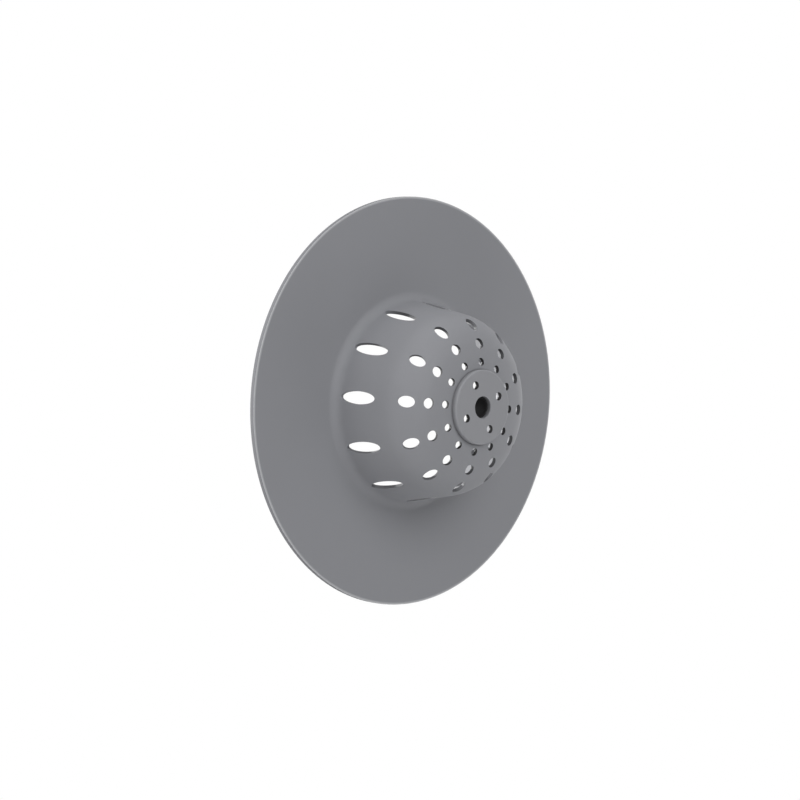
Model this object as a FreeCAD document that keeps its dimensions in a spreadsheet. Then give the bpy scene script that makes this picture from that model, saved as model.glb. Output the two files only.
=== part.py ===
import FreeCAD
import Part
import Sketcher

import math
import os

# A sink strainer in its in-use position: a flat round rim on top, a perforated dome basket below it, and at
# the basket's tip a snap-in foot cap that carries a small lift knob inside the basket.
# Millimetres, +Z up along the axis, z = 0 on the face of the foot cap.

SIZES = {
    # Rim
    "rim_radius": 57.0,
    "rim_thickness": 1.5,
    "rim_edge_round": 0.2,
    # Basket: seat_height is the level of the rim's underside, basket_radius is the outer radius of the wall
    # at that level, and basket_depth runs from there down to the seat of the foot cap. The shoulder between
    # the wall and the domed floor leaves floor_ring, the least width of floor round the cap.
    "seat_height": 28.6,
    "basket_radius": 28.25,
    "basket_depth": 27.03,
    "wall_thickness": 1.05,
    "wall_draft": 10.5,
    "root_radius": 3.0,
    "mouth_radius": 4.0,
    "shoulder_radius": 12.5,
    "floor_radius": 60.0,
    "floor_ring": 3.6,
    # Rows of holes in the basket, from the rim to the foot: slot_drop is measured down from the rim's
    # underside, the two angles are the slope of the shoulder's radius at the row, and small_row_gap runs out
    # from the cap's edge
    "holes_per_row": 12,
    "slot_length": 11.3,
    "slot_width": 3.5,
    "slot_drop": 7.5,
    "oval_length": 4.65,
    "oval_width": 3.1,
    "oval_row_angle": 41.4,
    "round_hole_diameter": 2.9,
    "round_row_angle": 70.0,
    "small_hole_diameter": 2.1,
    "small_row_gap": 2.1,
    # Foot cap: a plate whose spigot and bead snap into the grooved opening of the basket's floor. foot_step
    # is how far its face stands off that floor, and cap_lap how far the plate reaches past the spigot.
    "foot_radius": 10.2,
    "foot_step": 1.57,
    "foot_edge_round": 0.5,
    "plate_thickness": 1.3,
    "cap_lap": 0.7,
    "spigot_wall": 0.6,
    "bead_height": 0.25,
    "bead_width": 0.4,
    "cap_clearance": 0.05,
    "drain_holes": 4,
    "drain_hole_diameter": 2.2,
    "drain_row_inset": 2.23,
    "drain_row_turn": 60.0,
    # Collar in the middle of the cap, which the knob's shank is snapped into
    "collar_bore_radius": 3.0,
    "collar_wall": 0.9,
    "collar_height": 3.0,
    # Lift knob, with its levels measured up from the cap's face, and the flange's lap over the collar's bore
    "knob_clearance": 0.05,
    "knob_recess": 1.2,
    "cup_wall": 0.35,
    "ridge_height": 0.25,
    "ridge_width": 0.5,
    "ridge_level": 2.0,
    "flange_lap": 0.6,
    "flange_thickness": 0.6,
    "neck_radius": 1.8,
    "neck_round": 0.6,
    "head_radius": 3.0,
    "knob_height": 12.0,
}

doc = FreeCAD.newDocument("sink_strainer")
sheet = doc.addObject("Spreadsheet::Sheet", "Sizes")
for row, (alias, value) in enumerate(SIZES.items(), start=1):
    sheet.set(f"A{row}", alias)
    sheet.set(f"B{row}", str(value))
    sheet.setAlias(f"B{row}", alias)
doc.recompute()

# Levels that several pieces share, as expressions on the sheet, measured up from the cap's face
FLOOR_DROP = "sqrt(Sizes.floor_radius ^ 2 - Sizes.foot_radius ^ 2)"
INNER_FLOOR_RADIUS = "(Sizes.floor_radius - Sizes.wall_thickness)"
INNER_FLOOR = f"(Sizes.foot_step + {FLOOR_DROP} - sqrt({INNER_FLOOR_RADIUS} ^ 2 - Sizes.foot_radius ^ 2))"
BEAD_LEVEL = f"((Sizes.foot_step + {INNER_FLOOR}) / 2)"
FLANGE_LEVEL = "(Sizes.collar_height + Sizes.knob_clearance)"

# Where the cap's face lies, and the centre of the domed floor above it
FOOT_FACE = "(Sizes.seat_height - (Sizes.basket_depth + Sizes.foot_step))"
FLOOR_CENTRE = f"({FOOT_FACE} + Sizes.foot_step + {FLOOR_DROP})"

# The shoulder's radius, limited to the room between the wall and the floor round the cap
FLOOR_TURN = "(asin((Sizes.foot_radius + Sizes.floor_ring) / Sizes.floor_radius) + Sizes.wall_draft * 1 deg)"
WALL_REACH = (f"(Sizes.basket_radius * cos(Sizes.wall_draft)"
              f" + ({FLOOR_CENTRE} - Sizes.seat_height) * sin(Sizes.wall_draft))")
ROOM = f"(({WALL_REACH} - Sizes.floor_radius * sin({FLOOR_TURN})) / (1 - sin({FLOOR_TURN})))"
SHOULDER_RADIUS = f"min(Sizes.shoulder_radius; {ROOM})"

# Radii that two pieces share
SPIGOT_RADIUS = "(Sizes.foot_radius - Sizes.cap_lap)"
SPIGOT_INSIDE = f"({SPIGOT_RADIUS} - Sizes.spigot_wall)"
OPENING_RADIUS = f"({SPIGOT_RADIUS} + Sizes.cap_clearance)"
SHANK_RADIUS = "(Sizes.collar_bore_radius - Sizes.knob_clearance)"
RIDGE_RADIUS = f"({SHANK_RADIUS} + Sizes.ridge_height)"
RIDGE_HALF = "(Sizes.ridge_width / 2)"
FLANGE_RADIUS = "(Sizes.collar_bore_radius + Sizes.flange_lap)"

# A cut runs this many thicknesses, half of them to each side of the face that it starts from
CUT_SPAN = 4


def x_axis():
    return -1


def z_axis():
    return -2


def start(edge):
    return edge, 1


def end(edge):
    return edge, 2


def centre(edge):
    return edge, 3


ORIGIN = start(x_axis())


def number(expression):
    found = sheet.evalExpression(expression)
    return float(getattr(found, "Value", found))


def size(alias):
    return number("Sizes." + alias)


def point(x, y):
    return FreeCAD.Vector(x, y, 0)


def plane_of(body, role):
    return next(item for item in body.Origin.OriginFeatures if item.Role == role)


def new_body(label):
    body = doc.addObject("PartDesign::Body", label)
    body.Label = label
    return body


def new_sketch(body, name, role):
    sketch = body.newObject("Sketcher::SketchObject", name)
    sketch.AttachmentSupport = [(plane_of(body, role), "")]
    sketch.MapMode = "FlatFace"
    return sketch


def rule(sketch, kind, *where):
    return sketch.addConstraint(Sketcher.Constraint(kind, *where))


def dimension(sketch, name, expression, kind, *where):
    # A driving size of a sketch, tied to the sheet
    value = number(expression)
    if kind == "Angle":
        value = math.radians(value)
    index = rule(sketch, kind, *where, value)
    sketch.renameConstraint(index, name)
    sketch.setExpression("Constraints." + name, expression)


def reading(sketch, name, kind, *where):
    # A size that the sketch only reports, for other sketches to follow
    index = rule(sketch, kind, *where)
    sketch.setDriving(index, False)
    sketch.renameConstraint(index, name)


def line(sketch, start, end):
    return sketch.addGeometry(Part.LineSegment(point(*start), point(*end)))


def arc(sketch, centre, radius, from_degrees, to_degrees):
    circle = Part.Circle(point(*centre), FreeCAD.Vector(0, 0, 1), radius)
    return sketch.addGeometry(Part.ArcOfCircle(circle, math.radians(from_degrees), math.radians(to_degrees)))


def stepped_line(sketch, corners, prefix):
    # An open run of upright and level lines. Each corner is (radius expression, height expression), and each
    # line shares one of the two with its neighbours, which is the size that holds it.
    places = [(number(across), number(up)) for across, up in corners]
    runs = [line(sketch, places[k], places[k + 1]) for k in range(len(places) - 1)]
    for k, run in enumerate(runs):
        if corners[k][0] == corners[k + 1][0]:
            rule(sketch, "Vertical", run)
            dimension(sketch, f"{prefix}_radius_{k}", corners[k][0], "DistanceX", *ORIGIN, *start(run))
        else:
            rule(sketch, "Horizontal", run)
            dimension(sketch, f"{prefix}_level_{k}", corners[k][1], "DistanceY", *ORIGIN, *start(run))
    for first, second in zip(runs, runs[1:]):
        rule(sketch, "Coincident", *end(first), *start(second))
    return runs


def revolve(body, sketch, name):
    turned = body.newObject("PartDesign::Revolution", name)
    turned.Profile = sketch
    turned.ReferenceAxis = (sketch, ["V_Axis"])
    turned.Angle = 360
    return turned


def shoulder_centre():
    # Where the shoulder's centre lies before the sketch settles it: inside the wall and the domed floor
    draft = math.radians(size("wall_draft"))
    radius = number(SHOULDER_RADIUS)
    across = size("basket_radius") - radius * math.cos(draft)
    up = size("seat_height") + radius * math.sin(draft)
    floor_up = number(FLOOR_CENTRE)
    reach = size("floor_radius") - radius
    along = -across * math.sin(draft) - (up - floor_up) * math.cos(draft)
    gap = across ** 2 + (up - floor_up) ** 2 - reach ** 2
    travel = -along + math.sqrt(along ** 2 - gap)
    return across - travel * math.sin(draft), up - travel * math.cos(draft)


def basket_outline(body):
    sketch = new_sketch(body, "BasketOutline", "XZ_Plane")
    draft = size("wall_draft")
    lean = math.radians(draft)
    seat = size("seat_height")
    top = seat + size("rim_thickness")
    rim = size("rim_radius")
    edge = size("rim_edge_round")
    wall = size("wall_thickness")
    floor_up = number(FLOOR_CENTRE)
    hub = shoulder_centre()
    shoulder = number(SHOULDER_RADIUS)
    foot = size("foot_radius")

    def on_wall(inset, up):
        # A point of the wall's outer face, or of a line inset from it, at a given height
        return size("basket_radius") - inset / math.cos(lean) - (seat - up) * math.tan(lean), up

    def on_circle(middle, radius, degrees):
        turn = math.radians(degrees)
        return middle[0] + radius * math.cos(turn), middle[1] + radius * math.sin(turn)

    floor_start = math.degrees(math.atan2(hub[1] - floor_up, hub[0]))
    floor_end = -math.degrees(math.acos(foot / size("floor_radius")))
    inner_end = -math.degrees(math.acos(foot / number(INNER_FLOOR_RADIUS)))
    root = size("root_radius")
    root_centre = (on_wall(-root, seat - root)[0], seat - root)
    mouth = size("mouth_radius")
    mouth_centre = (on_wall(wall, top - mouth)[0] + mouth / math.cos(lean), top - mouth)

    # Outside of the basket, from the rim's edge down to the floor's opening
    underside = line(sketch, (rim - edge, seat), (root_centre[0], seat))
    root_arc = arc(sketch, root_centre, root, 90, 180 - draft)
    wall_foot = on_circle(hub, shoulder, -draft)
    outer_wall = line(sketch, on_circle(root_centre, root, 180 - draft), wall_foot)
    shoulder_arc = arc(sketch, hub, shoulder, floor_start, -draft)
    floor_arc = arc(sketch, (0, floor_up), size("floor_radius"), floor_end, floor_start)
    landing = f"({FOOT_FACE} + Sizes.foot_step)"
    groove = f"({OPENING_RADIUS} + Sizes.bead_height)"
    groove_low = f"({FOOT_FACE} + {BEAD_LEVEL} - Sizes.bead_width / 2 - Sizes.cap_clearance)"
    groove_high = f"({FOOT_FACE} + {BEAD_LEVEL} + Sizes.bead_width / 2 + Sizes.cap_clearance)"
    floor_inside = f"({FOOT_FACE} + {INNER_FLOOR})"
    opening = stepped_line(sketch, [
        ("Sizes.foot_radius", landing),
        (OPENING_RADIUS, landing),
        (OPENING_RADIUS, groove_low),
        (groove, groove_low),
        (groove, groove_high),
        (OPENING_RADIUS, groove_high),
        (OPENING_RADIUS, floor_inside),
        ("Sizes.foot_radius", floor_inside),
    ], "opening")

    # Inside of the basket, from the opening back up to the rim's top and round its edge
    inner_floor = arc(sketch, (0, floor_up), number(INNER_FLOOR_RADIUS), inner_end, floor_start)
    inner_shoulder = arc(sketch, hub, shoulder - wall, floor_start, -draft)
    mouth_foot = on_circle(mouth_centre, mouth, 180 - draft)
    inner_wall = line(sketch, on_circle(hub, shoulder - wall, -draft), mouth_foot)
    mouth_arc = arc(sketch, mouth_centre, mouth, 90, 180 - draft)
    rim_top = line(sketch, (mouth_centre[0], top), (rim - edge, top))
    top_round = arc(sketch, (rim - edge, top - edge), edge, 0, 90)
    rim_edge = line(sketch, (rim, top - edge), (rim, seat + edge))
    low_round = arc(sketch, (rim - edge, seat + edge), edge, 270, 360)

    rule(sketch, "Horizontal", underside)
    rule(sketch, "Horizontal", rim_top)
    rule(sketch, "Vertical", rim_edge)
    rule(sketch, "Tangent", *end(underside), *start(root_arc))
    rule(sketch, "Tangent", *end(root_arc), *start(outer_wall))
    rule(sketch, "Tangent", *end(outer_wall), *end(shoulder_arc))
    rule(sketch, "Tangent", *start(shoulder_arc), *end(floor_arc))
    rule(sketch, "Coincident", *start(floor_arc), *start(opening[0]))
    rule(sketch, "Coincident", *end(opening[-1]), *start(inner_floor))
    rule(sketch, "Tangent", *end(inner_floor), *start(inner_shoulder))
    rule(sketch, "Tangent", *end(inner_shoulder), *start(inner_wall))
    rule(sketch, "Tangent", *end(inner_wall), *end(mouth_arc))
    rule(sketch, "Tangent", *start(mouth_arc), *start(rim_top))
    rule(sketch, "Tangent", *end(rim_top), *end(top_round))
    rule(sketch, "Tangent", *start(top_round), *start(rim_edge))
    rule(sketch, "Tangent", *end(rim_edge), *end(low_round))
    rule(sketch, "Tangent", *start(low_round), *start(underside))

    # The inside follows the outside at the wall's thickness
    rule(sketch, "PointOnObject", *centre(floor_arc), z_axis())
    rule(sketch, "Coincident", *centre(inner_floor), *centre(floor_arc))
    rule(sketch, "Coincident", *centre(inner_shoulder), *centre(shoulder_arc))
    rule(sketch, "Parallel", inner_wall, outer_wall)
    rule(sketch, "Equal", top_round, low_round)

    # The wall's line, carried on up to the rim's underside, sets the basket's radius
    seat_point = sketch.addGeometry(Part.Point(point(size("basket_radius"), seat)), True)
    rule(sketch, "PointOnObject", *start(seat_point), outer_wall)
    dimension(sketch, "seat_height", "Sizes.seat_height", "DistanceY", *ORIGIN, *start(underside))
    dimension(sketch, "seat_level", "Sizes.seat_height", "DistanceY", *ORIGIN, *start(seat_point))
    dimension(sketch, "basket_radius", "Sizes.basket_radius", "DistanceX", *ORIGIN, *start(seat_point))
    rim_level = "Sizes.seat_height + Sizes.rim_thickness"
    dimension(sketch, "rim_top", rim_level, "DistanceY", *ORIGIN, *start(rim_top))
    dimension(sketch, "rim_radius", "Sizes.rim_radius", "DistanceX", *ORIGIN, *start(rim_edge))
    dimension(sketch, "edge_round", "Sizes.rim_edge_round", "Radius", top_round)
    dimension(sketch, "root_radius", "Sizes.root_radius", "Radius", root_arc)
    dimension(sketch, "mouth_radius", "Sizes.mouth_radius", "Radius", mouth_arc)
    dimension(sketch, "wall_lean", "-90 deg - Sizes.wall_draft * 1 deg", "Angle", outer_wall)
    dimension(sketch, "shoulder_radius", SHOULDER_RADIUS, "Radius", shoulder_arc)
    dimension(sketch, "floor_radius", "Sizes.floor_radius", "Radius", floor_arc)
    dimension(sketch, "floor_centre", FLOOR_CENTRE, "DistanceY", *ORIGIN, *centre(floor_arc))
    dimension(sketch, "inner_floor_radius", INNER_FLOOR_RADIUS, "Radius", inner_floor)

    # One construction line for each row of holes stands square on the outer face, where a hole has its middle
    slot_place = on_wall(0, seat - size("slot_drop"))
    slot_inside = (slot_place[0] - shoulder * math.cos(lean), slot_place[1] + shoulder * math.sin(lean))
    slot_line = line(sketch, slot_inside, slot_place)
    sketch.setConstruction(slot_line, True)
    rule(sketch, "PointOnObject", *end(slot_line), outer_wall)
    rule(sketch, "Perpendicular", slot_line, outer_wall)
    dimension(sketch, "slot_reach", SHOULDER_RADIUS, "Distance", slot_line)
    slot_level = "Sizes.seat_height - Sizes.slot_drop"
    dimension(sketch, "slot_height", slot_level, "DistanceY", *ORIGIN, *end(slot_line))
    reading(sketch, "slot_radius", "DistanceX", *ORIGIN, *end(slot_line), slot_place[0])
    reading(sketch, "slot_tilt", "Angle", slot_line, -lean)

    def spoke_to(surface, middle, place):
        spoke = line(sketch, middle, place)
        sketch.setConstruction(spoke, True)
        rule(sketch, "Coincident", *start(spoke), *centre(surface))
        rule(sketch, "PointOnObject", *end(spoke), surface)
        return spoke

    for name in ("oval", "round"):
        place = on_circle(hub, shoulder, -size(f"{name}_row_angle"))
        spoke = spoke_to(shoulder_arc, hub, place)
        dimension(sketch, f"{name}_tilt", f"-Sizes.{name}_row_angle * 1 deg", "Angle", spoke)
        reading(sketch, f"{name}_radius", "DistanceX", *ORIGIN, *end(spoke), place[0])
        reading(sketch, f"{name}_height", "DistanceY", *ORIGIN, *end(spoke), place[1])
    small_radius = "(Sizes.foot_radius + Sizes.small_row_gap)"
    small_turn = -math.acos(number(small_radius) / size("floor_radius"))
    place = on_circle((0, floor_up), size("floor_radius"), math.degrees(small_turn))
    spoke = spoke_to(floor_arc, (0, floor_up), place)
    dimension(sketch, "small_radius", small_radius, "DistanceX", *ORIGIN, *end(spoke))
    reading(sketch, "small_height", "DistanceY", *ORIGIN, *end(spoke), place[1])
    reading(sketch, "small_tilt", "Angle", spoke, small_turn)
    return sketch


def ellipse_rules(sketch, name, length, width):
    half_long = number(length) / 2
    half_wide = number(width) / 2
    sketch.addGeometry(Part.Ellipse(point(0, half_long), point(half_wide, 0), point(0, 0)))
    sketch.exposeInternalGeometry(0)
    long_axis, short_axis = 1, 2
    rule(sketch, "Coincident", *centre(0), *ORIGIN)
    rule(sketch, "Vertical", long_axis)
    dimension(sketch, f"{name}_length", length, "Distance", long_axis)
    dimension(sketch, f"{name}_width", width, "Distance", short_axis)


def circle_rules(sketch, name, diameter):
    sketch.addGeometry(Part.Circle(point(0, 0), FreeCAD.Vector(0, 0, 1), number(diameter) / 2))
    rule(sketch, "Coincident", *centre(0), *ORIGIN)
    dimension(sketch, f"{name}_diameter", diameter, "Diameter", 0)


def wall_cut(body, outline, name):
    # One hole of a row, cut square through the wall where the outline's construction line meets it
    sketch = new_sketch(body, f"{name}_hole", "YZ_Plane")
    tilt = FreeCAD.Rotation(FreeCAD.Vector(1, 0, 0), 1)
    sketch.AttachmentOffset = FreeCAD.Placement(FreeCAD.Vector(0, 0, 0), tilt)
    readings = f"{outline.Name}.Constraints.{name}"
    sketch.setExpression("AttachmentOffset.Base.z", f"{readings}_radius")
    sketch.setExpression("AttachmentOffset.Base.y", f"{readings}_height")
    sketch.setExpression("AttachmentOffset.Rotation.Angle", f"-{readings}_tilt")
    if name in ("slot", "oval"):
        ellipse_rules(sketch, name, f"Sizes.{name}_length", f"Sizes.{name}_width")
    else:
        circle_rules(sketch, name, f"Sizes.{name}_hole_diameter")
    cut = body.newObject("PartDesign::Pocket", f"{name}_cut")
    cut.Profile = sketch
    cut.SideType = "Symmetric"
    cut.setExpression("Length", f"{CUT_SPAN} * Sizes.wall_thickness")
    return cut


def ring_of(body, cuts, name, count):
    ring = body.newObject("PartDesign::PolarPattern", name)
    ring.Originals = cuts
    ring.Axis = (plane_of(body, "Z_Axis"), [""])
    ring.Angle = 360
    ring.setExpression("Occurrences", count)
    body.Tip = ring
    return ring


def strainer_body():
    body = new_body("strainer_body")
    outline = basket_outline(body)
    revolve(body, outline, "Basket")
    doc.recompute()
    cuts = [wall_cut(body, outline, name) for name in ("slot", "oval", "round", "small")]
    doc.recompute()
    ring_of(body, cuts, "HoleRows", "Sizes.holes_per_row")
    return body


def foot_cap():
    body = new_body("foot_cap")
    body.setExpression("Placement.Base.z", FOOT_FACE)
    sketch = new_sketch(body, "CapOutline", "XZ_Plane")
    foot = size("foot_radius")
    edge = size("foot_edge_round")
    bore = "Sizes.collar_bore_radius"
    groove = "(Sizes.collar_bore_radius + Sizes.ridge_height)"
    groove_low = f"(Sizes.ridge_level - {RIDGE_HALF} - Sizes.knob_clearance)"
    groove_high = f"(Sizes.ridge_level + {RIDGE_HALF} + Sizes.knob_clearance)"
    collar = "(Sizes.collar_bore_radius + Sizes.collar_wall)"
    bead = f"({SPIGOT_RADIUS} + Sizes.bead_height)"
    bead_low = f"({BEAD_LEVEL} - Sizes.bead_width / 2)"
    bead_high = f"({BEAD_LEVEL} + Sizes.bead_width / 2)"
    # From the lower edge of the collar's bore up through the ridge's groove, over the plate and the spigot,
    # and down to the seat that meets the basket's floor
    run = stepped_line(sketch, [
        (bore, "0"),
        (bore, groove_low),
        (groove, groove_low),
        (groove, groove_high),
        (bore, groove_high),
        (bore, "Sizes.collar_height"),
        (collar, "Sizes.collar_height"),
        (collar, "Sizes.plate_thickness"),
        (SPIGOT_INSIDE, "Sizes.plate_thickness"),
        (SPIGOT_INSIDE, INNER_FLOOR),
        (SPIGOT_RADIUS, INNER_FLOOR),
        (SPIGOT_RADIUS, bead_high),
        (bead, bead_high),
        (bead, bead_low),
        (SPIGOT_RADIUS, bead_low),
        (SPIGOT_RADIUS, "Sizes.foot_step"),
        ("Sizes.foot_radius", "Sizes.foot_step"),
    ], "cap")
    side = line(sketch, (foot, size("foot_step")), (foot, edge))
    foot_round = arc(sketch, (foot - edge, edge), edge, 270, 360)
    face = line(sketch, (foot - edge, 0), (number(bore), 0))
    rule(sketch, "Coincident", *end(run[-1]), *start(side))
    rule(sketch, "Vertical", side)
    rule(sketch, "Tangent", *end(side), *end(foot_round))
    rule(sketch, "Tangent", *start(foot_round), *start(face))
    rule(sketch, "Horizontal", face)
    rule(sketch, "Coincident", *end(face), *start(run[0]))
    rule(sketch, "PointOnObject", *start(face), x_axis())
    dimension(sketch, "foot_radius", "Sizes.foot_radius", "DistanceX", *ORIGIN, *start(side))
    dimension(sketch, "foot_edge_round", "Sizes.foot_edge_round", "Radius", foot_round)
    revolve(body, sketch, "Cap")
    doc.recompute()

    drain = new_sketch(body, "DrainHole", "XY_Plane")
    row_radius = f"({SPIGOT_INSIDE} - Sizes.drain_row_inset)"
    place = number(row_radius)
    turn = math.radians(size("drain_row_turn"))
    middle = (place * math.cos(turn), place * math.sin(turn))
    radius = size("drain_hole_diameter") / 2
    hole = drain.addGeometry(Part.Circle(point(*middle), FreeCAD.Vector(0, 0, 1), radius))
    spoke = line(drain, (0, 0), middle)
    drain.setConstruction(spoke, True)
    rule(drain, "Coincident", *start(spoke), *ORIGIN)
    rule(drain, "Coincident", *end(spoke), *centre(hole))
    dimension(drain, "drain_row_radius", row_radius, "Distance", spoke)
    dimension(drain, "drain_row_turn", "Sizes.drain_row_turn * 1 deg", "Angle", spoke)
    dimension(drain, "drain_hole_diameter", "Sizes.drain_hole_diameter", "Diameter", hole)
    cut = body.newObject("PartDesign::Pocket", "DrainCut")
    cut.Profile = drain
    cut.SideType = "Symmetric"
    cut.setExpression("Length", f"{CUT_SPAN} * Sizes.plate_thickness")
    doc.recompute()
    ring_of(body, [cut], "DrainHoles", "Sizes.drain_holes")
    return body


def lift_knob():
    body = new_body("lift_knob")
    body.setExpression("Placement.Base.z", FOOT_FACE)
    sketch = new_sketch(body, "KnobOutline", "XZ_Plane")
    cup = f"({SHANK_RADIUS} - Sizes.cup_wall)"
    low = f"(Sizes.ridge_level - {RIDGE_HALF})"
    high = f"(Sizes.ridge_level + {RIDGE_HALF})"
    flange_top = f"({FLANGE_LEVEL} + Sizes.flange_thickness)"
    head_level = "(Sizes.knob_height - Sizes.head_radius)"
    neck = size("neck_radius")
    fillet = size("neck_round")
    head = size("head_radius")
    head_up = number(head_level)
    recess = size("knob_recess")
    neck_low = number(flange_top) + fillet
    neck_high = head_up - math.sqrt(head ** 2 - neck ** 2)
    # Hollow end of the shank, its ridge, and the flange that lies on the collar
    run = stepped_line(sketch, [
        (cup, "Sizes.knob_recess"),
        (SHANK_RADIUS, "Sizes.knob_recess"),
        (SHANK_RADIUS, low),
        (RIDGE_RADIUS, low),
        (RIDGE_RADIUS, high),
        (SHANK_RADIUS, high),
        (SHANK_RADIUS, FLANGE_LEVEL),
        (FLANGE_RADIUS, FLANGE_LEVEL),
        (FLANGE_RADIUS, flange_top),
    ], "knob")
    flange = line(sketch, (number(FLANGE_RADIUS), number(flange_top)), (neck + fillet, number(flange_top)))
    waist = arc(sketch, (neck + fillet, neck_low), fillet, 180, 270)
    stem = line(sketch, (neck, neck_low), (neck, neck_high))
    ball_start = math.degrees(math.atan2(neck_high - head_up, neck))
    ball = arc(sketch, (0, head_up), head, ball_start, 90)
    core = line(sketch, (0, head_up + head), (0, recess + number(cup)))
    hollow = arc(sketch, (0, recess), number(cup), 0, 90)
    rule(sketch, "Coincident", *end(run[-1]), *start(flange))
    rule(sketch, "Horizontal", flange)
    rule(sketch, "Tangent", *end(flange), *end(waist))
    rule(sketch, "Tangent", *start(waist), *start(stem))
    rule(sketch, "Vertical", stem)
    rule(sketch, "Coincident", *end(stem), *start(ball))
    rule(sketch, "Coincident", *end(ball), *start(core))
    rule(sketch, "PointOnObject", *start(core), z_axis())
    rule(sketch, "PointOnObject", *end(core), z_axis())
    rule(sketch, "Coincident", *end(core), *end(hollow))
    rule(sketch, "Coincident", *start(hollow), *start(run[0]))
    rule(sketch, "PointOnObject", *centre(ball), z_axis())
    rule(sketch, "PointOnObject", *centre(hollow), z_axis())
    rule(sketch, "Horizontal", *centre(hollow), *start(hollow))
    dimension(sketch, "flange_top", flange_top, "DistanceY", *ORIGIN, *start(flange))
    dimension(sketch, "neck_round", "Sizes.neck_round", "Radius", waist)
    dimension(sketch, "neck_radius", "Sizes.neck_radius", "DistanceX", *ORIGIN, *start(stem))
    dimension(sketch, "head_radius", "Sizes.head_radius", "Radius", ball)
    dimension(sketch, "head_level", head_level, "DistanceY", *ORIGIN, *centre(ball))
    dimension(sketch, "cup_mouth", cup, "DistanceX", *ORIGIN, *start(run[0]))
    revolve(body, sketch, "Knob")
    return body


pieces = [strainer_body(), foot_cap(), lift_knob()]
doc.recompute()

for item in doc.Objects:
    if "Invalid" in item.State or "Error" in item.State:
        raise RuntimeError(f"{item.Name} failed: {item.State}")
    if item.isDerivedFrom("Sketcher::SketchObject") and not item.FullyConstrained:
        raise RuntimeError(f"{item.Name} is not fully constrained")
    if item.isDerivedFrom("PartDesign::Pocket") or item.isDerivedFrom("PartDesign::PolarPattern"):
        if item.Shape.Volume >= item.BaseFeature.Shape.Volume:
            raise RuntimeError(f"{item.Name} cuts nothing")
for piece in pieces:
    if piece.Shape.isNull() or not piece.Shape.isValid() or len(piece.Shape.Solids) != 1:
        raise RuntimeError(f"{piece.Label} has no valid solid")

os.makedirs("parts", exist_ok=True)
for piece in pieces:
    piece.Shape.exportStep(f"parts/{piece.Label}.step")
    box = piece.Shape.optimalBoundingBox()
    levels = f"z {box.ZMin:.3f} to {box.ZMax:.3f}"
    print(f"{piece.Label}: {piece.Shape.Volume:.1f} mm3, {levels}, radius {box.XMax:.3f}")
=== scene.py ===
import math

import bmesh
import bpy
from mathutils import Matrix, Vector


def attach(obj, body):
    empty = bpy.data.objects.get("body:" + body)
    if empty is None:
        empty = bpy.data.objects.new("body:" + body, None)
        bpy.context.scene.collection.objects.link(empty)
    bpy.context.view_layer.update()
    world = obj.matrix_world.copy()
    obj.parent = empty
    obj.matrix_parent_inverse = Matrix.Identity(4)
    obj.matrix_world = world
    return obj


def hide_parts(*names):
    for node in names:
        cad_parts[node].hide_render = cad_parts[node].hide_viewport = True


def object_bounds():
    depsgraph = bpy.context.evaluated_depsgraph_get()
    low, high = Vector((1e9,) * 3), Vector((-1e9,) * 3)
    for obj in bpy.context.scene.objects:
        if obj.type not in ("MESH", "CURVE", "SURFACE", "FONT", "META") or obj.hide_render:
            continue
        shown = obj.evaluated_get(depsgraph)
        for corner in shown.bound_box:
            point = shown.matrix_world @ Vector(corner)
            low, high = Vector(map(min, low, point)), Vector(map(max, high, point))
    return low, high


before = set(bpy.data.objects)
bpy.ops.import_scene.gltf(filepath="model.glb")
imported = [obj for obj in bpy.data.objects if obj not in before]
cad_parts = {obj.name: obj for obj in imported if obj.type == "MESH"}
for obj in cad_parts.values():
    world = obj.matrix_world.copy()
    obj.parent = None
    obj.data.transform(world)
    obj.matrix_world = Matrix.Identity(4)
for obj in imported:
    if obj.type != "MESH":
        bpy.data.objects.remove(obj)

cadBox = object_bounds()
mm = 0.001
rimTop = cadBox[1].z / mm
rimRadius = cadBox[1].x / mm
print("frame loaded:", ", ".join(sorted(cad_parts)))


# nodes: a socket that can be reckoned with, and the bench that makes nodes
class Wire:
    def __init__(self, bench, socket):
        self.bench = bench
        self.socket = socket

    def reckon(self, operation, other, turned=False):
        pair = (other, self) if turned else (self, other)
        return self.bench.node("ShaderNodeMath", {"operation": operation}, {0: pair[0], 1: pair[1]})

    def __add__(self, other):
        return self.reckon("ADD", other)

    def __sub__(self, other):
        return self.reckon("SUBTRACT", other)

    def __rsub__(self, other):
        return self.reckon("SUBTRACT", other, True)

    def __mul__(self, other):
        return self.reckon("MULTIPLY", other)

    __radd__ = __add__
    __rmul__ = __mul__


class Bench:
    def __init__(self, owner):
        owner.use_nodes = True
        self.tree = owner.node_tree
        self.tree.nodes.clear()

    def node(self, kind, settings, sockets, give=0):
        made = self.tree.nodes.new(kind)
        for name, value in settings.items():
            setattr(made, name, value)
        for name, value in sockets.items():
            if isinstance(value, Wire):
                self.tree.links.new(value.socket, made.inputs[name])
            else:
                made.inputs[name].default_value = value
        return Wire(self, made.outputs[give]) if len(made.outputs) else None

    def blend(self, share, first, second):          # two colours, by a share from 0 to 1
        settings = {"data_type": "RGBA", "clamp_factor": True}
        return self.node("ShaderNodeMix", settings, {0: share, 6: first, 7: second}, 2)

    def ramp(self, value, start, end):              # 0 at the start, 1 at the end, smooth between them
        sockets = {"Value": value, "From Min": start, "From Max": end}
        return self.node("ShaderNodeMapRange", {"interpolation_type": "SMOOTHSTEP"}, sockets)

    def speckle(self, where, perMetre, detail, rough):      # soft noise from about 0 to 1
        sockets = {"Vector": where, "Scale": perMetre, "Detail": detail, "Roughness": rough}
        return self.node("ShaderNodeTexNoise", {}, sockets)


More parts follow.
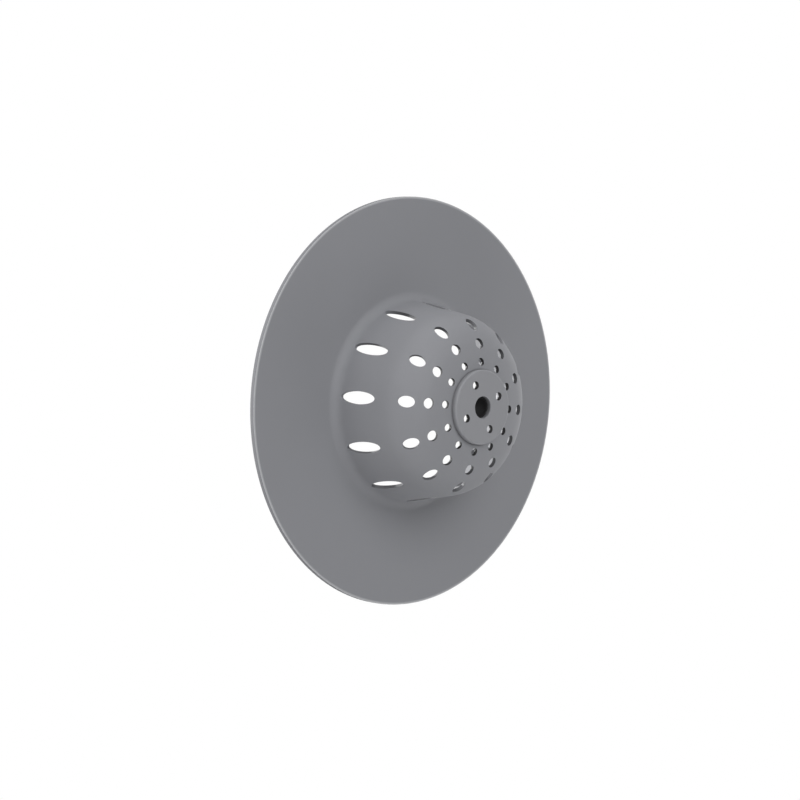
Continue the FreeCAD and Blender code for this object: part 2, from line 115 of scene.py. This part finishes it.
# meshes: every piece is turned about the Z axis, in millimetres. The painted shading of a vertex is for the
# finish:
# 1 for painted shade in a hole, 0 on a plain face and below 0 for a painted highlight on a corner.
mending = {"merge": 0.004, "sliver": 0.002, "sharp": 50}        # two distances, and degrees of a sharp edge


class Skin:
    def __init__(self):
        self.points = []
        self.paintedShadings = []
        self.faces = []

    def vertex(self, place, turn, paintedShading=0.0):
        radius, height = place
        self.points.append((radius * math.cos(turn) * mm, radius * math.sin(turn) * mm, height * mm))
        self.paintedShadings.append(paintedShading)
        return len(self.points) - 1

    def join(self, rings):                          # faces between closed rings of equal length
        for first, second in zip(rings, rings[1:]):
            count = len(first)
            for k in range(count):
                after = (k + 1) % count
                self.faces.append((first[k], first[after], second[after], second[k]))

    def turned(self, outline, count, firstTurn, paintedShadingAt):
        turns = [firstTurn + 2 * math.pi * k / count for k in range(count)]
        self.join([[self.vertex(place, turn, paintedShadingAt(place)) for turn in turns] for place in outline])

    def piece(self, name, material, body, node):
        mesh = bpy.data.meshes.new(name)
        mesh.from_pydata(self.points, [], self.faces)
        # painted shade and painted highlight go into a point attribute that the material reads
        paintedShading = mesh.attributes.new("paintedShading", "FLOAT", "POINT")
        paintedShading.data.foreach_set("value", self.paintedShadings)
        work = bmesh.new()
        work.from_mesh(mesh)
        bmesh.ops.remove_doubles(work, verts=work.verts, dist=mending["merge"] * mm)
        bmesh.ops.dissolve_degenerate(work, edges=work.edges, dist=mending["sliver"] * mm)
        bmesh.ops.recalc_face_normals(work, faces=work.faces)
        work.to_mesh(mesh)
        work.free()
        mesh.polygons.foreach_set("use_smooth", [True] * len(mesh.polygons))
        mesh.set_sharp_from_angle(angle=math.radians(mending["sharp"]))
        mesh.materials.append(material)
        made = bpy.data.objects.new(name, mesh)
        bpy.context.scene.collection.objects.link(made)
        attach(made, body)
        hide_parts(node)
        print(f"{name}: {len(mesh.vertices)} vertices")


def bend(middle, radius, fromDegrees, toDegrees, steps):
    turns = [math.radians(fromDegrees + (toDegrees - fromDegrees) * k / steps) for k in range(steps + 1)]
    return [(middle[0] + radius * math.cos(turn), middle[1] + radius * math.sin(turn)) for turn in turns]


def between(first, second, share):
    return tuple(a + (b - a) * share for a, b in zip(first, second))


# one hole in its own patch of a two-sided sheet: outside and inside give the sheet's faces at a distance
# along it, and the patch reaches from row["top"] to row["low"] along it and half a column to either side
def perforate(skin, outside, inside, row, turn, half, weave):
    steps, rounds, lip = weave["steps"], weave["rounds"], weave["lip"]
    edge = [-1 + 2 * k / steps for k in range(steps)]
    walk = [(-1, a) for a in edge] + [(a, 1) for a in edge]         # once round the patch, as (along, across)
    walk += [(1, -a) for a in edge] + [(-a, -1) for a in edge]

    def onSheet(along, across, depth):              # depth runs from 0 outside to 1 inside
        place = between(outside(along), inside(along), depth)
        return place, turn + across / place[0]

    def onHole(clear, depth):                       # the hole's outline, clear of its wall by a distance
        long, wide = row["long"] / 2, row["wide"] / 2
        ring = []
        for along, across in walk:
            lean = math.atan2(across, along)
            size = math.hypot(wide * math.cos(lean), long * math.sin(lean))
            reach = math.cos(lean) * (long + clear * wide / size)
            aside = math.sin(lean) * (wide + clear * long / size)
            ring.append((row["middle"] + reach / (1 - row["curve"] * depth), aside))
        return ring

    def wallPaintedShade(along, across):                  # how dark the painted shade on the hole's wall is, from its ends to its sides
        aside = math.sin(math.atan2(across, along)) ** 2
        return row["dark"] * aside + row["endDark"] * (1 - aside)

    def faceRings(depth):                           # from the hole's lip out to the edge of the patch
        hole = onHole(lip, depth)
        rings = []
        for share in weave["shares"]:
            ring = []
            for (along, across), (holeAlong, holeAcross) in zip(walk, hole):
                far = row["top"] + (row["low"] - row["top"]) * (along + 1) / 2
                place = holeAlong + (far - holeAlong) * share
                startTurn = onSheet(holeAlong, holeAcross, depth)[1]
                swing = startTurn + (turn + across * half - startTurn) * share
                ring.append(skin.vertex(between(outside(place), inside(place), depth), swing))
            rings.append(ring)
        return rings

    def lipRings(inner):                            # round the lip, from the face into the hole
        rings = []
        for k in range(rounds + 1):
            swing = math.radians(90 * k / rounds)
            sunk = lip / row["wall"] * (1 - math.cos(swing))
            depth = 1 - sunk if inner else sunk
            ring = []
            for corner, place in zip(walk, onHole(lip * (1 - math.sin(swing)), depth)):
                ring.append(skin.vertex(*onSheet(*place, depth), wallPaintedShade(*corner) * k / rounds))
            rings.append(ring)
        return rings

    outer = list(reversed(faceRings(0.0)))
    inner = faceRings(1.0)
    skin.join(outer + lipRings(False) + list(reversed(lipRings(True))) + inner)


# snap fits that two pieces share, in millimetres up from the foot cap's face and out from the axis
snap = {
    "clearance": 0.05,
    "foot": 10.2, "step": 1.57,                     # edge of the cap, and how far it stands out of the basket
    "spigot": 9.5, "bead": 0.25, "beadLow": 1.9, "beadHigh": 2.3,       # of the cap, in the basket's floor
    "bore": 3.0, "collarTop": 3.0,                  # of the cap's collar, which holds the knob's shank
    "groove": 0.25, "grooveLow": 1.7, "grooveHigh": 2.3,                # in the bore, for the shank's ridge
}

# strainer body: wide flat rim and perforated dome basket, one soft moulding
basket = {
    "rim": 1.5, "rimRound": 0.2,                    # rim's thickness and edge rounding
    "rimDark": 0.42, "edgeShadeShare": 0.05,               # painted shade on the rim's outer edge, and its share of the rounding
    "highlightStrength": 0.75, "highlightShare": 1.05,             # painted highlight on the rim's corners: how pale, and its share of the rounding
    "radius": 28.25, "draft": 10.5, "wall": 1.05,   # outer radius at the rim's underside, lean and thickness
    "root": 3.0, "mouth": 4.0,                      # fillet under the rim and rounded mouth inside
    "shoulder": 12.5, "floor": 60.0,                # curve between the wall and the domed floor
    "columns": 12, "aboveSlots": 0.8,               # holes in a row, and the plain band above the first row
    # rows of holes from the rim to the foot, and how dark the painted shade on a hole's wall is at its sides
    # and its ends
    "slots": {"long": 11.3, "wide": 3.5, "drop": 7.5, "dark": 0.5, "endDark": 0.0},
    "ovals": {"long": 4.65, "wide": 3.1, "angle": 41.4, "dark": 0.45, "endDark": 0.45},
    "rounds": {"long": 2.9, "wide": 2.9, "angle": 70.0, "dark": 0.85, "endDark": 0.85},
    "smalls": {"long": 2.1, "wide": 2.1, "gap": 2.1, "dark": 1.0, "endDark": 1.0},
    "seam": 0.7, "contactShade": 0.55,                  # width and depth of the painted shade in the corner round the cap
    "seamBelow": 0.1,                               # the painted shade stays this far below the floor's inner face
}
# first line: points along a side of a hole's patch, steps round its lip, the lip's radius, rings between them
basketWeave = {
    "steps": 16, "rounds": 3, "lip": 0.06, "shares": (0.0, 0.12, 0.32, 0.62, 1.0),
    "rootSteps": 8, "edgeSteps": 5, "mouthSteps": 8,
    "underRim": (0.03, 0.1, 0.25, 0.5, 0.75, 0.9, 0.98),        # rings across the rim, closer at its ends
    "overRim": (0.02, 0.1, 0.25, 0.5, 0.75, 0.9, 0.97),
    "floorRing": (0.0, 0.25, 0.5, 0.75, 1.0),
}
seat = rimTop - basket["rim"]                       # level of the rim's underside


def basketForm():
    wall, root, shoulder, floor = (basket[name] for name in ("wall", "root", "shoulder", "floor"))
    lean = math.radians(basket["draft"])
    down = Vector((-math.sin(lean), -math.cos(lean)))
    inward = Vector((-math.cos(lean), math.sin(lean)))
    startUp = seat - root * (1 - math.sin(lean))    # where the rim's fillet meets the straight wall
    start = Vector((basket["radius"] - (seat - startUp) * math.tan(lean), startUp))
    rootHub = start - inward * root
    floorHub = Vector((0, snap["step"] + math.sqrt(floor ** 2 - snap["foot"] ** 2)))
    reach = floor - shoulder
    gap = start + inward * shoulder - floorHub
    along = down.dot(gap)
    wallLong = -along + math.sqrt(along ** 2 - gap.length_squared + reach ** 2)
    hub = start + down * wallLong + inward * shoulder
    floorLean = math.asin(hub.x / reach)            # slope of the floor where the shoulder begins
    floorFrom = wallLong + shoulder * (math.pi / 2 - floorLean - lean)

    def face(place, inset):                         # place runs down from the top of the straight wall
        if place < wallLong:
            found = start + down * place + inward * inset
        elif place < floorFrom:
            swing = lean + (place - wallLong) / shoulder
            found = hub + (shoulder - inset) * Vector((math.cos(swing), -math.sin(swing)))
        else:
            swing = floorLean - (place - floorFrom) / floor
            found = floorHub + (floor - inset) * Vector((math.sin(swing), -math.cos(swing)))
        return tuple(found)

    def outside(place):
        if place >= 0:
            return face(place, 0)
        swing = math.pi - lean + place / root
        return tuple(rootHub + root * Vector((math.cos(swing), math.sin(swing))))

    def inside(place):
        return face(place, wall)

    def shoulderPlace(degrees):
        return wallLong + shoulder * (math.radians(degrees) - lean)

    def floorPlace(radius):
        return floorFrom + floor * (floorLean - math.asin(radius / floor))

    slots, ovals, rounds, smalls = (basket[name] for name in ("slots", "ovals", "rounds", "smalls"))
    rows = [
        dict(slots, middle=(startUp - seat + slots["drop"]) / math.cos(lean), curve=0.0),
        dict(ovals, middle=shoulderPlace(ovals["angle"]), curve=wall / shoulder),
        dict(rounds, middle=shoulderPlace(rounds["angle"]), curve=wall / shoulder),
        dict(smalls, middle=floorPlace(snap["foot"] + smalls["gap"]), curve=wall / floor),
    ]
    # the rows' patches meet halfway between their holes, and the last one ends at the seam round the cap
    ends = [rows[0]["middle"] - rows[0]["long"] / 2 - basket["aboveSlots"]]
    for above, below in zip(rows, rows[1:]):
        ends.append((above["middle"] + above["long"] / 2 + below["middle"] - below["long"] / 2) / 2)
    ends.append(floorPlace(snap["foot"] + basket["seam"]))
    for row, top, low in zip(rows, ends, ends[1:]):
        row.update(top=top, low=low, wall=wall)
    return outside, inside, rows, rootHub, floorPlace(snap["foot"])


def rimOutline(outerTop, innerTop, rootHub):        # from the slots' patches round the rim to the mouth
    root, mouth, edge, weave = basket["root"], basket["mouth"], basket["rimRound"], basketWeave
    lean = math.radians(basket["draft"])
    rootFrom = math.degrees(math.atan2(outerTop[1] - rootHub.y, outerTop[0] - rootHub.x))
    mouthUp = rimTop - mouth
    mouthIn = innerTop[0] + (mouthUp - innerTop[1]) * math.tan(lean) + mouth / math.cos(lean)
    rim = bend(rootHub, root, rootFrom, 90, weave["rootSteps"])
    rim += [between(rim[-1], (rimRadius - edge, seat), share) for share in weave["underRim"]]
    rim += bend((rimRadius - edge, seat + edge), edge, 270, 360, weave["edgeSteps"])
    rim += bend((rimRadius - edge, rimTop - edge), edge, 0, 90, weave["edgeSteps"])
    rim += [between(rim[-1], (mouthIn, rimTop), share) for share in weave["overRim"]]
    rim += bend((mouthIn, mouthUp), mouth, 90, 180 - basket["draft"], weave["mouthSteps"])
    return rim + [innerTop]


def rimPaintedShading(place):                               # painted shade on the rim's outer edge, painted highlight on its corners
    edge = basket["rimRound"]
    if place[0] > rimRadius - edge * basket["edgeShadeShare"]:
        return basket["rimDark"]
    return -basket["highlightStrength"] if place[0] > rimRadius - edge * basket["highlightShare"] else 0.0


def strainerShell(material):
    outside, inside, rows, rootHub, floorEnd = basketForm()
    skin = Skin()
    half = math.pi / basket["columns"]
    around = basket["columns"] * basketWeave["steps"]
    for row in rows:
        for column in range(basket["columns"]):
            perforate(skin, outside, inside, row, 2 * half * column, half, basketWeave)
    top, low = rows[0]["top"], rows[-1]["low"]
    skin.turned(rimOutline(outside(top), inside(top), rootHub), around, -half, rimPaintedShading)

    # from the smallest holes' patches round the floor's opening, which the foot cap's spigot fills
    inFloor = inside(floorEnd)[1]
    throat = snap["spigot"] + snap["clearance"]
    groove = throat + snap["bead"]
    grooveLow, grooveHigh = snap["beadLow"] - snap["clearance"], snap["beadHigh"] + snap["clearance"]
    ring = [low + (floorEnd - low) * share for share in basketWeave["floorRing"]]
    opening = [outside(place) for place in ring]
    opening += [(throat, snap["step"]), (throat, grooveLow), (groove, grooveLow)]
    opening += [(groove, grooveHigh), (throat, grooveHigh), (throat, inFloor)]
    opening += [inside(place) for place in reversed(ring)]

    # painted shade in the corner round the cap, strongest at the cap's edge
    def contactPaintedShade(place):
        nearness = max(0.0, 1 - abs(place[0] - snap["foot"]) / basket["seam"])
        return basket["contactShade"] * nearness ** 2 if place[1] < inFloor - basket["seamBelow"] else 0.0

    skin.turned(opening, around, -half, contactPaintedShade)
    skin.piece("strainerShell", material, "strainer", "strainer_body")


# foot cap: drained plate whose spigot and bead snap into the basket's floor
cap = {
    "plate": 1.3, "round": 0.5, "flatRing": 0.1,    # thickness, edge rounding and the plain ring beside it
    "spigotWall": 0.6, "spigotTop": 2.63,
    "collar": 3.9, "boreRound": 0.1, "boreRing": 0.3,           # radius, lip of the bore and ring beside it
    "contactShade": 0.5, "boreDark": 0.75,              # painted shade at the top of the side, and at the bore's groove
    "drains": {"long": 2.2, "wide": 2.2, "middle": 6.67, "dark": 1.0, "endDark": 1.0},
    "drainCount": 4, "drainTurn": 60.0, "patch": 1.75,          # patch is the room either side of a hole
}
capWeave = {
    "steps": 28, "rounds": 3, "lip": 0.06, "shares": (0.0, 0.15, 0.4, 1.0),
    "edgeSteps": 6, "boreSteps": 4, "side": (0.33, 0.67, 1.0),
}


def footCap(material):
    plate, foot, step, spigot, bore = cap["plate"], snap["foot"], snap["step"], snap["spigot"], snap["bore"]
    skin = Skin()
    half = math.pi / cap["drainCount"]
    firstTurn = math.radians(cap["drainTurn"])
    around = cap["drainCount"] * capWeave["steps"]
    middle = cap["drains"]["middle"]
    top, low = middle - cap["patch"], middle + cap["patch"]
    row = dict(cap["drains"], curve=0.0, wall=plate, top=top, low=low)
    for column in range(cap["drainCount"]):
        turn = firstTurn + 2 * half * column
        perforate(skin, lambda out: (out, 0.0), lambda out: (out, plate), row, turn, half, capWeave)

    # from the drain holes' patches out round the edge, and up and over the spigot
    edge, bead, inner = cap["round"], spigot + snap["bead"], spigot - cap["spigotWall"]
    rim = [(low, 0.0), (foot - edge - cap["flatRing"], 0.0)]
    rim += bend((foot - edge, edge), edge, 270, 360, capWeave["edgeSteps"])
    rim += [(foot, edge + (step - edge) * share) for share in capWeave["side"]]
    rim += [(spigot, step), (spigot, snap["beadLow"]), (bead, snap["beadLow"])]
    rim += [(bead, snap["beadHigh"]), (spigot, snap["beadHigh"]), (spigot, cap["spigotTop"])]
    rim += [(inner, cap["spigotTop"]), (inner, plate), (low, plate)]

    def sidePaintedShade(place):                          # painted shade, darker up the side, towards the seat on the basket
        return cap["contactShade"] * (place[1] / step) ** 2 if place[0] > bead else 0.0

    skin.turned(rim, around, firstTurn - half, sidePaintedShade)

    # from the drain holes' patches in to the bore, and up and over the collar
    lip, groove, grooveLow = cap["boreRound"], bore + snap["groove"], snap["grooveLow"]
    collar = [(top, 0.0), (bore + lip + cap["boreRing"], 0.0)]
    collar += reversed(bend((bore + lip, lip), lip, 180, 270, capWeave["boreSteps"]))
    collar += [(bore, grooveLow * share) for share in capWeave["side"]]
    collar += [(groove, grooveLow), (groove, snap["grooveHigh"]), (bore, snap["grooveHigh"])]
    collar += [(bore, snap["collarTop"]), (cap["collar"], snap["collarTop"])]
    collar += [(cap["collar"], plate), (top, plate)]

    def borePaintedShade(place):                          # painted shade, darker down the bore
        return cap["boreDark"] * min(1.0, place[1] / grooveLow) if place[0] <= groove else 0.0

    skin.turned(collar, around, firstTurn - half, borePaintedShade)
    skin.piece("footCapPlate", material, "strainer", "foot_cap")


# lift knob: hollow shank snapped in the cap's collar, flange, neck and ball head
knob = {
    "recess": 1.2, "cupWall": 0.35,                 # level of the shank's open end, and its wall there
    "flange": 3.6, "flangeThick": 0.6, "flangeRound": 0.15,
    "neck": 1.8, "neckRound": 0.6, "head": 3.0, "top": 12.0,
}
knobWeave = {
    "around": 96, "cupSteps": 12, "flangeSteps": 3, "neckSteps": 6, "headSteps": 24,
    "pole": 0.02,                                   # radius of the small rings that close the two poles
}


def liftKnob(material):
    recess, neck, fillet, head = (knob[name] for name in ("recess", "neck", "neckRound", "head"))
    shank = snap["bore"] - snap["clearance"]
    ridge = shank + snap["groove"]
    ridgeLow, ridgeHigh = snap["grooveLow"] + snap["clearance"], snap["grooveHigh"] - snap["clearance"]
    flangeLow = snap["collarTop"] + snap["clearance"]
    flangeTop = flangeLow + knob["flangeThick"]
    lip = knob["flangeRound"]
    flangeOut = knob["flange"] - lip
    headUp = knob["top"] - head
    neckTop = headUp - math.sqrt(head ** 2 - neck ** 2)
    headFrom = math.degrees(math.atan2(neckTop - headUp, neck))

    def dome(level, radius, fromDegrees, toDegrees, steps):     # an arc that stops just short of the pole
        arc = bend((0, level), radius, fromDegrees, toDegrees, steps)
        return [(max(out, knobWeave["pole"]), up) for out, up in arc]

    cup = dome(recess, shank - knob["cupWall"], 90, 0, knobWeave["cupSteps"]) + [(shank, recess)]
    outline = cup + [(shank, ridgeLow), (ridge, ridgeLow), (ridge, ridgeHigh), (shank, ridgeHigh)]
    outline.append((shank, flangeLow))
    outline += bend((flangeOut, flangeLow + lip), lip, 270, 360, knobWeave["flangeSteps"])
    outline += bend((flangeOut, flangeTop - lip), lip, 0, 90, knobWeave["flangeSteps"])
    outline += reversed(bend((neck + fillet, flangeTop + fillet), fillet, 180, 270, knobWeave["neckSteps"]))
    outline += dome(headUp, head, headFrom, 90, knobWeave["headSteps"])
    skin = Skin()
    around = knobWeave["around"]
    # painted shade fills the open cup of the shank
    skin.turned(outline, around, 0.0, lambda place: 1.0 if place in cup else 0.0)
    for first in (0, (len(outline) - 1) * around):
        skin.faces.append(tuple(range(first, first + around)))
    skin.piece("liftKnobTurned", material, "knob", "lift_knob")


# finishes: matte moulded grey with a fine even grain, faint flow marks, painted shade in the holes, on the
# rim's edge and round the cap, and a painted highlight on the rim's corners
def mouldedGrey(name, look):
    material = bpy.data.materials.new(name)
    bench = Bench(material)
    where = bench.node("ShaderNodeTexCoord", {}, {}, "Object")
    normal = bench.node("ShaderNodeTexCoord", {}, {}, "Normal")
    flow = bench.speckle(where, look["flowPerMetre"], look["flowDetail"], look["speckleRough"])
    grain = bench.speckle(where, look["grainPerMetre"], look["grainDetail"], look["speckleRough"])
    paintedShading = bench.node("ShaderNodeAttribute", {"attribute_name": "paintedShading"}, {}, "Fac")
    tone = bench.blend(flow, look["shade"], look["light"])
    # painted shade: the mask darkens the tone towards the near black of the holes
    tone = bench.blend(paintedShading, tone, look["hole"])
    # painted highlight: where the mask is below 0 it pales the tone
    tone = bench.blend(0 - paintedShading, tone, look["paintedHighlight"])
    rough = look["rough"] + look["roughVary"] * (flow - 0.5) + look["holeRough"] * paintedShading
    height = bench.node("ShaderNodeBump", {}, {
        "Strength": look["grainStrength"], "Distance": look["grainDeep"] * mm, "Height": grain})
    # the side that faces up inside the basket comes off a polished core, the rest of the mould is matte
    facingUp = bench.node("ShaderNodeSeparateXYZ", {}, {0: normal}, "Z")
    fromAxis = bench.node("ShaderNodeVectorMath", {"operation": "MULTIPLY"}, {0: where, 1: (1, 1, 0)})
    radius = bench.node("ShaderNodeVectorMath", {"operation": "LENGTH"}, {0: fromAxis}, "Value")
    polish = bench.ramp(facingUp, look["polishTiltFrom"], look["polishTiltTo"])
    polish = polish * bench.ramp(radius, look["polishTo"] * mm, look["polishFrom"] * mm)
    shader = bench.node("ShaderNodeBsdfPrincipled", {}, {
        "Base Color": tone, "Roughness": rough, "Normal": height, "Specular IOR Level": look["gloss"],
        "Coat Weight": polish, "Coat Roughness": look["polishRough"], "Coat IOR": look["polishIndex"]})
    bench.node("ShaderNodeOutputMaterial", {}, {"Surface": shader})
    return material


bodyLook = {
    "shade": (0.203, 0.207, 0.221, 1), "light": (0.217, 0.220, 0.236, 1),
    # hole is the near black of full painted shade; the pale grey after it is the painted highlight
    "hole": (0.006, 0.006, 0.0065, 1), "paintedHighlight": (0.46, 0.465, 0.48, 1),
    "rough": 0.62, "roughVary": 0.1, "holeRough": 0.35, "gloss": 0.35,
    "flowPerMetre": 45.0, "flowDetail": 3.0, "speckleRough": 0.55,
    "grainPerMetre": 4200.0, "grainDetail": 2.0, "grainStrength": 0.25, "grainDeep": 0.03,
    "polishRough": 0.3, "polishIndex": 1.7,
    "polishFrom": 29.0, "polishTo": 31.0,           # radii between which the polished inside fades out
    "polishTiltFrom": 0.05, "polishTiltTo": 0.15,   # how far a face has to look up to be polished
}
capLook = dict(bodyLook, rough=0.5, flowPerMetre=80.0,
               shade=(0.222, 0.225, 0.239, 1), light=(0.234, 0.237, 0.251, 1))
knobLook = dict(capLook, shade=(0.205, 0.208, 0.222, 1), light=(0.215, 0.218, 0.232, 1))

strainerShell(mouldedGrey("bodyGrey", bodyLook))
footCap(mouldedGrey("capGrey", capLook))
liftKnob(mouldedGrey("knobGrey", knobLook))
print("pieces built")


# camera below the rim, looking up at the basket's underside, in millimetres
shot = {
    "eye": (3.5, -482.1, -474.7), "aim": (0.21, -12.11, 20.0),
    "upward": (0.9969, -0.0532, 0.0575),            # what is up in the picture
    "lens": 112.31, "sensor": 36.0, "nearest": 10.0,
}


def facing(eye, aim, upward):
    back = (Vector(eye) - Vector(aim)).normalized()
    right = Vector(upward).cross(back).normalized()
    turn = Matrix((right, back.cross(right), back)).transposed().to_4x4()
    return Matrix.Translation(Vector(eye) * mm) @ turn


camera = bpy.data.cameras.new("camera")
camera.lens = shot["lens"]
camera.sensor_width = shot["sensor"]
camera.clip_start = shot["nearest"] * mm
cameraRig = bpy.data.objects.new("camera", camera)
cameraRig.matrix_world = facing(shot["eye"], shot["aim"], shot["upward"])
bpy.context.scene.collection.objects.link(cameraRig)
bpy.context.scene.camera = cameraRig

# soft lamps: places are right, up and towards the camera from the object, in millimetres, power in watts
lamps = {
    "key": {"place": (335, 275, 550), "size": 600, "power": 3.5},
    "rightFill": {"place": (548, -411, -147), "size": 500, "power": 0.86},
    "rightEdge": {"place": (525, 42, -462), "size": 450, "power": 0.85},
    "lowFill": {"place": (0, -634, 296), "size": 500, "power": 1.22},
    "leftHigh": {"place": (-366, 427, 417), "size": 500, "power": 1.94},
    "leftLow": {"place": (-449, -449, 296), "size": 500, "power": 1.44},
    "topEdge": {"place": (0, 700, -24), "size": 450, "power": 1.06},
    "above": {"place": (-695, 55, -60), "size": 300, "power": 6.0},
    "leftEdge": {"place": (-480, 500, -90), "size": 300, "power": 1.6},
}


def softLamp(name, look):
    lamp = bpy.data.lights.new(name, "AREA")
    lamp.shape = "DISK"
    lamp.size = look["size"] * mm
    lamp.energy = look["power"]
    rig = bpy.data.objects.new(name, lamp)
    turn = facing(shot["eye"], shot["aim"], shot["upward"]).to_3x3()
    middle = Vector((0, 0, rimTop / 2))
    rig.matrix_world = facing(turn @ Vector(look["place"]) + middle, middle, shot["upward"])
    bpy.context.scene.collection.objects.link(rig)


for name, look in lamps.items():
    softLamp(name, look)

# white surroundings: full white to the camera and in gloss, faint as light on matte faces
room = {"colour": (1, 1, 1, 1), "shown": 1.0, "ambient": 0.15}


def whiteRoom():
    world = bpy.data.worlds.new("room")
    bpy.context.scene.world = world
    bench = Bench(world)
    toCamera = bench.node("ShaderNodeLightPath", {}, {}, "Is Camera Ray")
    mirrored = bench.node("ShaderNodeLightPath", {}, {}, "Is Glossy Ray")
    through = bench.node("ShaderNodeLightPath", {}, {}, "Is Transmission Ray")
    fill = bench.node("ShaderNodeBackground", {}, {"Color": room["colour"], "Strength": room["ambient"]})
    white = bench.node("ShaderNodeBackground", {}, {"Color": room["colour"], "Strength": room["shown"]})
    mixed = bench.node("ShaderNodeMixShader", {}, {0: toCamera + mirrored + through, 1: fill, 2: white})
    bench.node("ShaderNodeOutputWorld", {}, {"Surface": mixed})


# pale floor, shown from above only, so that it doesn't hide the object from a camera below it
floorLook = {"reach": 500.0, "fadeFrom": 120.0, "below": 0.3, "colour": (0.8, 0.8, 0.8, 1)}


def paleFloor():
    mesh = bpy.data.meshes.new("floor")
    reach, level = floorLook["reach"] * mm, cadBox[0].z - floorLook["below"] * mm
    corners = [(-reach, -reach, level), (reach, -reach, level), (reach, reach, level), (-reach, reach, level)]
    mesh.from_pydata(corners, [], [(0, 1, 2, 3)])
    floor = bpy.data.objects.new("floor", mesh)
    bpy.context.scene.collection.objects.link(floor)
    material = bpy.data.materials.new("paleFloor")
    bench = Bench(material)
    toCamera = bench.node("ShaderNodeLightPath", {}, {}, "Is Camera Ray")
    behind = bench.node("ShaderNodeNewGeometry", {}, {}, "Backfacing")
    clear = bench.node("ShaderNodeBsdfTransparent", {}, {})
    matte = bench.node("ShaderNodeBsdfDiffuse", {}, {"Color": floorLook["colour"]})
    where = bench.node("ShaderNodeTexCoord", {}, {}, "Object")
    away = bench.node("ShaderNodeVectorMath", {"operation": "LENGTH"}, {0: where}, "Value")
    fade = bench.ramp(away, reach, floorLook["fadeFrom"] * mm)
    shown = bench.node("ShaderNodeMixShader", {}, {0: toCamera * (1 - behind) * fade, 1: clear, 2: matte})
    bench.node("ShaderNodeOutputMaterial", {}, {"Surface": shown})
    mesh.materials.append(material)


whiteRoom()
paleFloor()
bpy.context.scene.view_settings.view_transform = "Standard"
print("camera, light and floor set")
